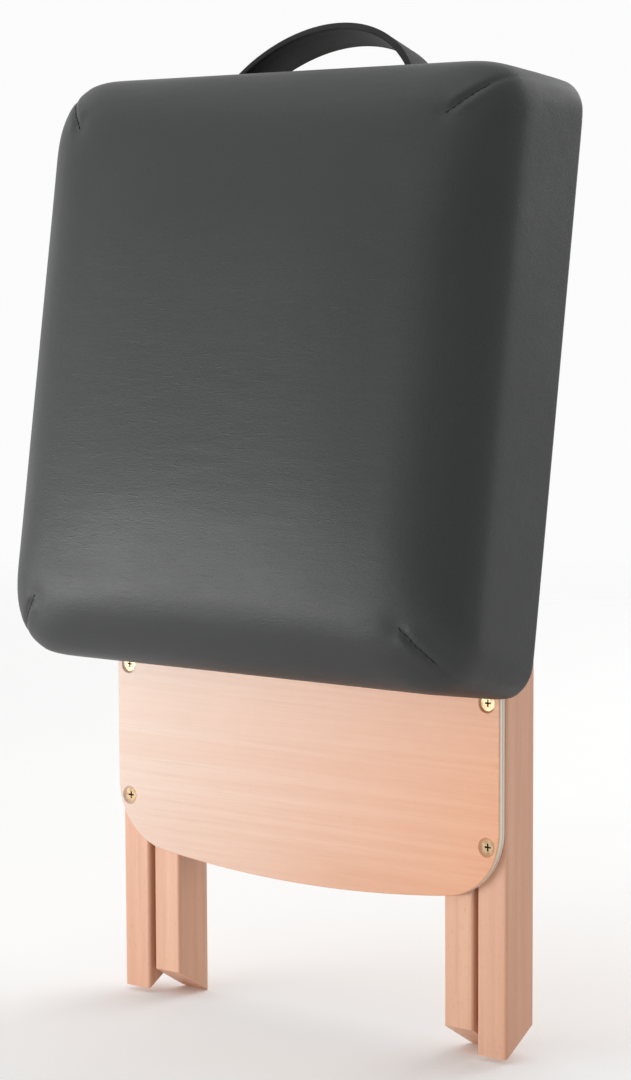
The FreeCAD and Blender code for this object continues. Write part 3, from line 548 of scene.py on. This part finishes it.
STRAP_SPAN = 140 * MM
STRAP_FOOT = 26 * MM
STRAP_RISES = (36.4 * MM, 42.5 * MM)     # of the edge nearer the underside, and of the other
STRAP_LEAN = math.radians(20.0)
STRAP_WIDTH = 30 * MM
STRAP_THICK = 3.5 * MM
STRAP_LEVEL = 3.0 * MM
STRAP_ROUND = 1.1 * MM
STRAP_SPARE = 0.5 * MM          # the bow is thicker than its feet by twice this
STRAP_FULL_AT = 15 * MM         # height over the seat's end at which it is
STRAP_ENDS_IN = 0.6 * MM        # the feet end this far inside the CAD's
STRAP_PINCH = 0.16              # of the half thickness, in a line along each edge
STRAP_PINCH_AT = 0.8            # of the half width
STRAP_PINCH_WIDTH = 0.06
STRAP_ARC_STEPS = 5
STRAP_FACE_STEPS = 8
STRAP_BEND = 3                  # points of a foot over which it bends flat


def bow_points(rise, level, count=36):
    """The strap's middle line at one of its edges, in the seat's directions, with the way
    out of the hand loop at each point."""
    half = STRAP_SPAN / 2
    bow = rise - STRAP_THICK
    radius = (half ** 2 + bow ** 2) / (2 * bow)
    sweep = math.asin(half / radius)
    middle = radius + STRAP_THICK / 2
    out_y = Vector((0, math.cos(STRAP_LEAN), -math.sin(STRAP_LEAN)))
    base = Vector((0, COVER_HIGH.y, level))
    points = []
    for i in range(count + 1):
        turn = sweep * (2 * i / count - 1)
        across, height = middle * math.sin(turn), middle * math.cos(turn) - (radius - bow)
        way = Vector((math.sin(turn), 0, 0)) + out_y * math.cos(turn)
        points.append((base + Vector((across, 0, 0)) + out_y * height, way))
    return points


def foot_points(sign, level, start, count=7):
    """The strap's middle line along a foot that lies flat on the seat's end."""
    points = []
    flat = COVER_HIGH.y + STRAP_THICK / 2
    for i in range(1, count + 1):
        end = STRAP_SPAN / 2 + STRAP_FOOT - STRAP_ENDS_IN
        x = sign * (abs(start.x) + (end - abs(start.x)) * i / count)
        share = min(1.0, i / STRAP_BEND)
        y = start.y + (flat - start.y) * (3 - 2 * share) * share ** 2
        points.append((Vector((x, y, level)), Vector((0, 1, 0))))
    return points


def make_strap():
    """The carrying strap: a band between two bowed edges, with flat feet."""
    edges = []
    for side, rise in zip((-1, 1), STRAP_RISES):
        level = STRAP_LEVEL + side * STRAP_WIDTH / 2
        bow = bow_points(rise, level)
        left = foot_points(-1, level, bow[0][0])
        right = foot_points(1, level, bow[-1][0])
        edges.append(list(reversed(left)) + bow + right)
    rings = []
    for (low, way_low), (high, way_high) in zip(*edges):
        across = (high - low).normalized()
        out = (way_low + way_high) / 2
        out = (out - across * out.dot(across)).normalized()
        centre = (low + high) / 2
        half_width = (high - low).length / 2
        lifted = min(1.0, max(0.0, (centre.y - COVER_HIGH.y) / STRAP_FULL_AT))
        half_thick = STRAP_THICK / 2 + STRAP_SPARE * lifted
        ring = []
        for quarter, (u, v) in enumerate(((1, 1), (-1, 1), (-1, -1), (1, -1))):
            for k in range(STRAP_ARC_STEPS + 1):
                turn = math.pi / 2 * (quarter + k / STRAP_ARC_STEPS)
                a = u * (half_width - STRAP_ROUND) + STRAP_ROUND * math.cos(turn)
                b = v * (half_thick - STRAP_ROUND) + STRAP_ROUND * math.sin(turn)
                ring.append(centre + across * a + out * b)
            if quarter in (0, 2):
                for k in range(1, STRAP_FACE_STEPS):
                    share = 1 - 2 * k / STRAP_FACE_STEPS
                    a = u * (half_width - STRAP_ROUND) * share
                    off = (abs(share) - STRAP_PINCH_AT) / STRAP_PINCH_WIDTH
                    pinch = 1 - STRAP_PINCH * math.exp(-off ** 2)
                    ring.append(centre + across * a + out * v * half_thick * pinch)
        rings.append(ring)
    bm = bmesh.new()
    skin_rings(bm, rings)
    piece = new_piece("carrying_strap", bm)
    piece.data.transform(FROM_SEAT)
    return piece


# ---------------------------------------------------------------- materials


class Material:
    """A node material with short helpers."""

    def __init__(self, name, **inputs):
        self.material = bpy.data.materials.new(name)
        self.material.use_nodes = True
        self.tree = self.material.node_tree
        self.shader = self.tree.nodes["Principled BSDF"]
        for key, value in inputs.items():
            self.shader.inputs[key.replace("_", " ")].default_value = value
        self.place = self.node("ShaderNodeTexCoord")

    def node(self, kind, **settings):
        """Adds a shader node with the given properties."""
        made = self.tree.nodes.new(kind)
        for key, value in settings.items():
            setattr(made, key, value)
        return made

    def feed(self, socket, value):
        """Links or sets an input."""
        if isinstance(value, bpy.types.NodeSocket):
            self.tree.links.new(value, socket)
        else:
            socket.default_value = value

    def stretched(self, scale, shift=(0, 0, 0)):
        """Object coordinates, scaled and shifted."""
        mapping = self.node("ShaderNodeMapping")
        self.feed(mapping.inputs["Vector"], self.place.outputs["Object"])
        self.feed(mapping.inputs["Scale"], scale)
        self.feed(mapping.inputs["Location"], shift)
        return mapping.outputs["Vector"]

    def noise(self, scale, detail=3.0, roughness=0.5, shift=(0, 0, 0), distortion=0.0):
        """Smooth noise, 0 to 1, with its own scale along each axis."""
        made = self.node("ShaderNodeTexNoise")
        self.feed(made.inputs["Vector"], self.stretched(scale, shift))
        self.feed(made.inputs["Scale"], 1.0)
        self.feed(made.inputs["Detail"], detail)
        self.feed(made.inputs["Roughness"], roughness)
        self.feed(made.inputs["Distortion"], distortion)
        return made.outputs["Fac"]

    def cells(self, scale):
        """Distance to the nearest of scattered points: a pebbled pattern."""
        made = self.node("ShaderNodeTexVoronoi")
        self.feed(made.inputs["Vector"], self.stretched(scale))
        self.feed(made.inputs["Scale"], 1.0)
        return made.outputs["Distance"]

    def ramp(self, value, *stops):
        """Colour or grey by value. Each stop is (position, colour)."""
        made = self.node("ShaderNodeValToRGB")
        ramp = made.color_ramp
        while len(ramp.elements) < len(stops):
            ramp.elements.new(0.5)
        for element, (position, colour) in zip(ramp.elements, stops):
            element.position = position
            element.color = (*colour, 1) if not isinstance(colour, float) else (colour,) * 3 + (1,)
        self.feed(made.inputs["Fac"], value)
        return made.outputs["Color"]

    def mix(self, first, second, share, blend="MIX"):
        """Blends two colours by a share."""
        made = self.node("ShaderNodeMix", data_type="RGBA", blend_type=blend)
        self.feed(made.inputs["Factor"], share)
        for key, value in (("A", first), ("B", second)):
            socket = next(s for s in made.inputs if s.name == key and s.type == "RGBA")
            if isinstance(value, tuple) and len(value) == 3:
                value = (*value, 1)
            self.feed(socket, value)
        return next(s for s in made.outputs if s.type == "RGBA")

    def sum(self, kind, first, second=0.0, third=0.0):
        """One arithmetic step on values."""
        made = self.node("ShaderNodeMath", operation=kind)
        for socket, value in zip(made.inputs, (first, second, third)):
            self.feed(socket, value)
        return made.outputs[0]

    def normal_part(self, axis):
        """How far the surface faces along an axis of the object, either way."""
        split = self.node("ShaderNodeSeparateXYZ")
        self.feed(split.inputs[0], self.place.outputs["Normal"])
        return self.sum("ABSOLUTE", split.outputs[AXES.index(axis)])

    def part(self, axis):
        """The object coordinate along an axis."""
        split = self.node("ShaderNodeSeparateXYZ")
        self.feed(split.inputs[0], self.place.outputs["Object"])
        return split.outputs[AXES.index(axis)]

    def bump(self, height, strength, distance, under=None):
        """Surface normal with a fine relief, over another one if there is one."""
        made = self.node("ShaderNodeBump")
        self.feed(made.inputs["Height"], height)
        self.feed(made.inputs["Strength"], strength)
        self.feed(made.inputs["Distance"], distance)
        if under is not None:
            self.feed(made.inputs["Normal"], under)
        return made.outputs["Normal"]

    def finish(self, colour=None, rough=None, normal=None):
        """Feeds the surface shader and gives back the material."""
        for key, value in (("Base Color", colour), ("Roughness", rough), ("Normal", normal)):
            if value is not None:
                self.feed(self.shader.inputs[key], value)
        return self.material


def grain_scale(axis, along, across):
    """Scales that stretch a texture along an axis."""
    return tuple(along if AXES[i] == axis else across for i in range(3))


def beech(name, axis, light, dark, fleck, shift):
    """Lacquered beech: soft grain along an axis, short ray flecks and paler end grain."""
    m = Material(name, Roughness=0.42)
    broad = m.noise(grain_scale(axis, 2.2, 46), 4, 0.55, (shift, shift * 2, shift * 3), 0.3)
    fine = m.noise(grain_scale(axis, 9, 420), 3, 0.6, (shift, 0, 0))
    colour = m.ramp(broad, (0.3, dark), (0.72, light))
    streaks = m.noise(grain_scale(axis, 4, 170), 3, 0.55, (shift, 0, shift))
    colour = m.mix(colour, dark, m.ramp(streaks, (0.46, 0.0), (0.68, 0.65)))
    colour = m.mix(colour, tuple(c * 0.86 for c in dark), m.ramp(fine, (0.5, 0.0), (0.8, 0.45)))
    rays = m.noise(grain_scale(axis, 230, 1000), 1, 0.4, (0, shift, 0))
    rays = m.ramp(rays, (0.64, 0.0), (0.71, 0.26))
    colour = m.mix(colour, fleck, rays)
    end = m.ramp(m.normal_part(axis), (0.86, 0.0), (0.97, 1.0))
    pores = m.cells((1500, 1500, 1500))
    end_colour = m.mix(tuple(c * 0.72 for c in light), tuple(c * 0.5 for c in dark),
                       m.ramp(pores, (0.15, 0.7), (0.5, 0.0)))
    colour = m.mix(colour, end_colour, end)
    rough = m.ramp(broad, (0.3, 0.38), (0.8, 0.5))
    normal = m.bump(fine, 0.25, 0.0002)
    return m.finish(colour, rough, normal)


def plywood(name, light, dark, ply):
    """Beech-faced plywood: grain across the panel, painted shade that makes it darker and warmer to the
    right, plies at the edges.
    """
    m = Material(name, Roughness=0.36)
    broad = m.noise((2.6, 30, 60), 4, 0.55, (0.4, 0, 0.1), 0.5)
    streaks = m.noise((3.5, 60, 330), 3, 0.55, (0.2, 0, 0))
    fine = m.noise((16, 300, 1100), 3, 0.6)
    colour = m.ramp(broad, (0.32, dark), (0.66, light))
    colour = m.mix(colour, dark, m.ramp(streaks, (0.46, 0.0), (0.66, 0.6)))
    colour = m.mix(colour, tuple(c * 0.82 for c in dark), m.ramp(fine, (0.5, 0.0), (0.8, 0.4)))
    rays = m.noise((260, 500, 1000), 1, 0.4)
    colour = m.mix(colour, tuple(c * 0.8 for c in dark), m.ramp(rays, (0.66, 0.0), (0.72, 0.14)))
    # Painted shade: the colour darkens and warms towards +X, as if the light fell from the left.
    across = m.sum("MULTIPLY_ADD", m.part("X"), 3.2, 0.5)
    colour = m.mix(colour, m.ramp(across, (0.0, (1.0, 1.0, 1.0)), (1.0, PANEL_RIGHT_SHADE)), 1.0,
                   "MULTIPLY")
    depth = m.sum("MULTIPLY", m.part("Y"), 1 / PLY_THICK)
    band = m.sum("FRACT", m.sum("MULTIPLY", depth, 0.5))
    plies = m.ramp(band, (0.0, PLY_PALE), (0.46, PLY_PALE), (0.5, ply), (0.56, ply),
                   (0.6, PLY_DEEP), (0.98, PLY_DEEP))
    edge = m.ramp(m.normal_part("Y"), (0.45, 1.0), (0.62, 0.0))
    colour = m.mix(colour, plies, edge)
    return m.finish(colour, m.ramp(broad, (0.3, 0.32), (0.8, 0.45)), m.bump(fine, 0.2, 0.0002))


def vinyl(name, colour, rough, gloss):
    """Soft artificial leather: fine pebbled grain with faint creases across."""
    m = Material(name, Roughness=rough, Specular_IOR_Level=gloss)
    pebbles = m.cells((1150, 1150, 1150))
    creases = m.noise((130, 900, 1500), 3, 0.6)
    waves = m.noise((22, 60, 90), 3, 0.5)
    tone = m.noise((9, 14, 14), 3, 0.5)
    shade = m.ramp(tone, (0.3, tuple(c * 0.94 for c in colour)), (0.7, tuple(c * 1.05 for c in colour)))
    shade = m.mix(shade, tuple(c * 0.7 for c in colour), m.ramp(pebbles, (0.45, 0.0), (0.85, 0.5)))
    normal = m.bump(waves, 0.22, 0.0012)
    normal = m.bump(creases, 0.22, 0.0003, normal)
    nicks = m.ramp(m.noise((85, 560, 600), 2, 0.5, (0.3, 0, 0)), (0.63, 0.0), (0.72, 1.0))
    normal = m.bump(nicks, 0.16, 0.0004, normal)
    normal = m.bump(pebbles, 0.30, 0.00022, normal)
    return m.finish(shade, m.ramp(tone, (0.3, rough - 0.04), (0.7, rough + 0.05)), normal)


def strap_leather(name, face, edge):
    """Dark leathery strap with a painted highlight that makes its edges paler."""
    m = Material(name, Roughness=0.6, Specular_IOR_Level=0.22)
    grain = m.cells((1300, 1300, 1300))
    tone = m.noise((60, 60, 60), 3, 0.5)
    # Painted highlight: faces along the strap's edges take the paler colour, as if lit.
    shade = m.mix(face, edge, m.ramp(m.normal_part("Y"), (0.45, 0.0), (0.85, 1.0)))
    shade = m.mix(shade, (0.0, 0.0, 0.0), m.ramp(tone, (0.35, 0.25), (0.7, 0.0)))
    return m.finish(shade, None, m.bump(grain, 0.35, 0.0003))


def plated(name, colour, dull, metal_rough):
    """Zinc-plated steel with a blotchy passivation, and painted shade, near black, in its recesses."""
    m = Material(name, Metallic=1.0)
    blotch = m.noise((420, 420, 420), 3, 0.5)
    fine = m.noise((2500, 2500, 2500), 2, 0.5)
    shade = m.ramp(blotch, (0.35, dull), (0.62, colour))
    # Painted shade: ambient occlusion darkens the recesses and the hollows about the heads towards near
    # black.
    recess_shade = m.node("ShaderNodeAmbientOcclusion", samples=8)
    recess_shade.inputs["Distance"].default_value = 3 * MM
    shade = m.mix(tuple(c * 0.06 for c in dull), shade,
                  m.ramp(recess_shade.outputs["AO"], (0.35, 0.0), (0.92, 1.0)))
    rough = m.ramp(blotch, (0.3, metal_rough + 0.12), (0.7, metal_rough))
    return m.finish(shade, rough, m.bump(fine, 0.12, 0.00012))


def plastic(name, colour):
    """Moulded plastic with a slightly uneven sheen."""
    m = Material(name, Roughness=0.45)
    fine = m.noise((1800, 1800, 1800), 2, 0.5)
    broad = m.noise((60, 60, 60), 2, 0.5)
    shade = m.ramp(broad, (0.3, tuple(c * 0.85 for c in colour)), (0.7, tuple(c * 1.15 for c in colour)))
    return m.finish(shade, m.ramp(broad, (0.3, 0.4), (0.7, 0.52)), m.bump(fine, 0.2, 0.0001))


def thread(name, colour):
    """Twisted thread, also used for the dark seam lines of painted shade."""
    m = Material(name, Roughness=0.7)
    twist = m.noise((2600, 2600, 2600), 2, 0.5)
    shade = m.ramp(twist, (0.3, tuple(c * 0.6 for c in colour)), (0.7, colour))
    return m.finish(shade, None, m.bump(twist, 0.5, 0.00015))


# Painted shade: the panel's colour is multiplied by this at its right side.
PANEL_RIGHT_SHADE = (1.06, 0.68, 0.45)
PLY_PALE = (0.80, 0.74, 0.66)
PLY_DEEP = (0.70, 0.60, 0.48)
PLY_THICK = 1.5 * MM
BEECH_LIGHT = (0.71, 0.41, 0.275)
BEECH_DARK = (0.61, 0.315, 0.20)
BEECH_FLECK = (0.46, 0.25, 0.15)
PINE_LIGHT = (0.72, 0.55, 0.34)
PINE_DARK = (0.58, 0.38, 0.19)
PINE_FLECK = (0.45, 0.27, 0.12)
BOARD_FLECK = (0.5, 0.3, 0.14)
PANEL_LIGHT = (0.70, 0.54, 0.45)
PANEL_DARK = (0.645, 0.444, 0.34)
PLY_JOINT = (0.30, 0.20, 0.13)
VINYL = (0.0245, 0.0255, 0.0262)
STRAP_FACE = (0.008, 0.008, 0.0085)
# Painted highlight for the strap's edges.
STRAP_EDGE_HIGHLIGHT = (0.024, 0.024, 0.0245)
# Painted shade: the seam lines' dark colour stands in for the shadow in each seam's gap.
SEAM_LINE_SHADE = (0.012, 0.012, 0.013)
STITCH_THREAD = (0.018, 0.018, 0.02)
NYLON = (0.02, 0.02, 0.021)
YELLOW_ZINC = (0.33, 0.25, 0.15)
YELLOW_ZINC_DULL = (0.22, 0.14, 0.08)
BRIGHT_ZINC = (0.72, 0.72, 0.70)
BRIGHT_ZINC_DULL = (0.55, 0.56, 0.56)


def paint(node_or_piece, material):
    """Gives an object one material in place of all it has."""
    thing = node_or_piece
    if isinstance(thing, str):
        thing = frame["nodes"][thing]
    thing.data.materials.clear()
    thing.data.materials.append(material)
    for face in thing.data.polygons:
        face.material_index = 0


def paint_everything(upholstery, seams, stitches, strap):
    """A material for each CAD node named here and every piece. The shifts keep grains apart."""
    for i, leg in enumerate(("outer_leg_left", "outer_leg_right", "inner_leg_left",
                             "inner_leg_right")):
        paint(leg, beech(leg + "_beech", "Z", BEECH_LIGHT, BEECH_DARK, BEECH_FLECK, 1.3 * i))
    for i, rail in enumerate(("outer_top_rail", "inner_top_rail")):
        paint(rail, beech(rail + "_beech", "X", BEECH_LIGHT, BEECH_DARK, BEECH_FLECK, 7 + i))
    for panel in ("outer_panel", "inner_panel"):
        paint(panel, plywood(panel + "_plywood", PANEL_LIGHT, PANEL_DARK, PLY_JOINT))
    for i, (node, axis) in enumerate((("side_apron_left", "Z"), ("side_apron_right", "Z"),
                                      ("lower_end_apron", "X"), ("handle_end_apron", "X"),
                                      ("catch_block", "X"))):
        paint(node, beech(node + "_pine", axis, PINE_LIGHT, PINE_DARK, PINE_FLECK, 20 + i))
    paint("seat_board", beech("board_plywood", "Z", PINE_LIGHT, PINE_DARK, BOARD_FLECK, 31))
    zinc = plated("yellow_zinc", YELLOW_ZINC, YELLOW_ZINC_DULL, 0.24)
    for node in ("outer_panel_screws", "inner_panel_screws", "outer_rail_screws",
                 "inner_rail_screws", "seat_frame_screws", "handle_screws"):
        paint(node, zinc)
    steel = plated("bright_zinc", BRIGHT_ZINC, BRIGHT_ZINC_DULL, 0.28)
    for node in ("pivot_bolts", "pivot_washers", "pivot_nuts", "hinge_bolts",
                 "hinge_tee_nuts", "cover_staples", "handle_washers"):
        paint(node, steel)
    for node in ("pivot_spacers", "hinge_spacers"):
        paint(node, plastic("black_nylon_" + node, NYLON))
    paint(upholstery, vinyl("seat_vinyl_grain", VINYL, 0.47, 0.42))
    paint(strap, strap_leather("strap_leather_grain", STRAP_FACE, STRAP_EDGE_HIGHLIGHT))
    # The seam lines get a dark colour as painted shade for the seams' shadow gaps.
    paint(seams, thread("seam_line_shade", SEAM_LINE_SHADE))
    paint(stitches, thread("stitch_thread", STITCH_THREAD))


# ---------------------------------------------------------------- stage, light and camera


def look_at(thing, target):
    """Turns a lamp towards a point."""
    thing.rotation_mode = "QUATERNION"
    thing.rotation_quaternion = (target - thing.location).to_track_quat("-Z", "Y")


def softbox(name, azimuth, elevation, distance, size, power, target):
    """Area light on a sphere about the target. Azimuth 0 is in front."""
    a, e = math.radians(azimuth), math.radians(elevation)
    data = bpy.data.lights.new(name, "AREA")
    data.shape = "RECTANGLE"
    data.size, data.size_y = size
    data.energy = power
    lamp = bpy.data.objects.new(name, data)
    lamp.location = target + distance * Vector((math.sin(a) * math.cos(e),
                                                -math.cos(a) * math.cos(e), math.sin(e)))
    bpy.context.collection.objects.link(lamp)
    look_at(lamp, target)


FLOOR_SIDES = 96
FLOOR_RINGS = (0.02, 0.5, 1.0, 1.6, 2.4, 3.2)
FLOOR_FADE = 0.32        # per metre from the middle


def make_floor():
    """Pale disc that fades into the pale surroundings."""
    bm = bmesh.new()
    turns = [2 * math.pi * k / FLOOR_SIDES for k in range(FLOOR_SIDES)]
    rings = [[Vector((r * math.cos(t), r * math.sin(t), 0)) for t in turns]
             for r in FLOOR_RINGS]
    made = skin_rings(bm, rings, caps=False)
    bm.faces.new(made[0])
    floor = new_piece("floor", bm)
    m = Material("pale_floor", Roughness=0.9)
    m.finish(m.ramp(m.noise((3, 3, 3), 2), (0.3, (0.92, 0.92, 0.92)), (0.7, (0.94, 0.94, 0.935))))
    distance = m.node("ShaderNodeVectorMath", operation="LENGTH")
    m.feed(distance.inputs[0], m.place.outputs["Object"])
    fade = m.sum("MULTIPLY", distance.outputs["Value"], FLOOR_FADE)
    fade = m.ramp(fade, (0.25, 0.0), (0.95, 1.0))
    clear = m.node("ShaderNodeBsdfTransparent")
    joined = m.node("ShaderNodeMixShader")
    m.feed(joined.inputs[0], fade)
    m.feed(joined.inputs[1], m.shader.outputs[0])
    m.feed(joined.inputs[2], clear.outputs[0])
    out = m.tree.nodes["Material Output"]
    m.feed(out.inputs["Surface"], joined.outputs[0])
    paint(floor, m.material)


def make_world(bright, dim, dim_azimuth, dim_elevation):
    """Pale room, dimmer on one side so that round forms show their turn."""
    world = bpy.data.worlds.new("pale_room")
    world.use_nodes = True
    tree = world.node_tree
    background = tree.nodes["Background"]
    place = tree.nodes.new("ShaderNodeTexCoord")
    facing = tree.nodes.new("ShaderNodeVectorMath")
    facing.operation = "DOT_PRODUCT"
    a, e = math.radians(dim_azimuth), math.radians(dim_elevation)
    facing.inputs[1].default_value = (math.sin(a) * math.cos(e), -math.cos(a) * math.cos(e),
                                      math.sin(e))
    tree.links.new(place.outputs["Generated"], facing.inputs[0])
    spread = tree.nodes.new("ShaderNodeMapRange")
    spread.interpolation_type = "SMOOTHSTEP"
    for socket, value in zip(spread.inputs[1:5], (0.25, 0.95, bright, dim)):
        socket.default_value = value
    tree.links.new(facing.outputs["Value"], spread.inputs["Value"])
    tree.links.new(spread.outputs["Result"], background.inputs["Strength"])
    background.inputs["Color"].default_value = (1, 1, 1, 1)
    bpy.context.scene.world = world


CAMERA_PLACE = Vector((1.1108, -1.3884, 0.4886))
CAMERA_YAW = math.radians(37.98)
CAMERA_PITCH = math.radians(-5.52)
CAMERA_ROLL = math.radians(-0.24)
CAMERA_LENS = 94.6


def make_camera():
    """A long lens from the right of the front, a little above the middle of the seat."""
    data = bpy.data.cameras.new("camera")
    data.lens = CAMERA_LENS
    data.sensor_width = 36.0
    data.sensor_fit = "AUTO"
    camera = bpy.data.objects.new("camera", data)
    bpy.context.collection.objects.link(camera)
    turn = (Matrix.Rotation(CAMERA_YAW, 4, "Z") @ Matrix.Rotation(math.pi / 2 + CAMERA_PITCH, 4, "X")
            @ Matrix.Rotation(CAMERA_ROLL, 4, "Z"))
    camera.matrix_world = Matrix.Translation(CAMERA_PLACE) @ turn
    bpy.context.scene.camera = camera


# ---------------------------------------------------------------- put together

upholstery, seam_paths = make_upholstery()
corner_seam_shade_lines = make_seam_shade_lines(seam_paths)
corner_stitches = make_stitches(seam_paths)
strap = make_strap()

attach(upholstery, "seat")
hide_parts("seat_cover", "foam_block")
for piece in (corner_seam_shade_lines, corner_stitches):
    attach(piece, "seat")
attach(strap, "seat")
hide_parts("handle_strap")

paint_everything(upholstery, corner_seam_shade_lines, corner_stitches, strap)

middle = (cad_box[0] + cad_box[1]) / 2
make_floor()
make_world(0.97, 0.52, 62, 20)
softbox("key", -41, -8, 1.5, (1.1, 0.2), 11, middle)
softbox("fill", 78, 22, 2.6, (1.4, 1.4), 1, middle)
softbox("top", -30, 72, 2.2, (1.4, 1.4), 5, middle)
softbox("back", 170, 25, 2.6, (1.6, 1.6), 14, middle)
bpy.context.scene.view_settings.view_transform = "Standard"
make_camera()
